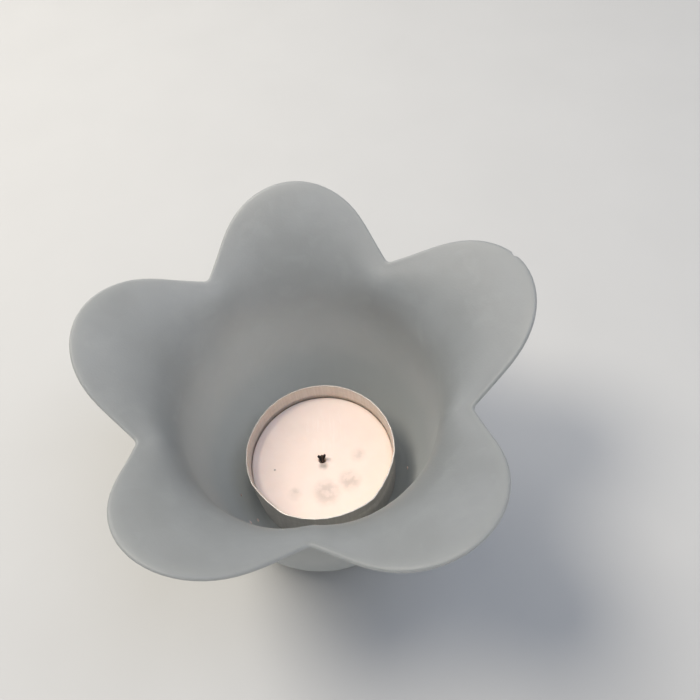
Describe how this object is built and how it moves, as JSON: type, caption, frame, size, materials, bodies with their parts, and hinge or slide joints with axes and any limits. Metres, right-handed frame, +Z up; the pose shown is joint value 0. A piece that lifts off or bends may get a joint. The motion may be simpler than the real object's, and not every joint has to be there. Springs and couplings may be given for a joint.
{
  "type": "tealight holder",
  "caption": "Flower-shaped bowl of frosted glass with rounded petals, holding a loose tealight in an aluminium cup.",
  "frame": {"origin": "on the bowl's vertical axis, at the centre of its flat foot", "axes": "+Z up along the bowl's axis, one notch between two petals faces -Y and the opposite petal points to +Y"},
  "size_m": [0.0975, 0.0937, 0.0649],
  "materials": {
    "frosted_glass": "acid-frosted, satin, translucent",
    "cup_aluminium": "thin drawn sheet, dull",
    "paraffin_wax": "cast paraffin wax, soft sheen",
    "wick_cotton": "braided cotton, charred at the tip",
    "sustainer_steel": "thin tinned sheet"
  },
  "bodies": {
    "bowl": {"flower_bowl": "frosted_glass"},
    "tealight": {"tealight_cup": "cup_aluminium"},
    "wax_cake": {"wax": "paraffin_wax", "wick": "wick_cotton", "wick_sustainer": "sustainer_steel"}
  },
  "joints": [
    {"name": "tealight_lift", "type": "slide", "parent": "bowl", "child": "tealight", "axis": [0, 0, 1], "range_m": [0, 0.075]},
    {"name": "wax_lift", "type": "slide", "parent": "tealight", "child": "wax_cake", "axis": [0, 0, 1], "range_m": [0, 0.02]}
  ]
}
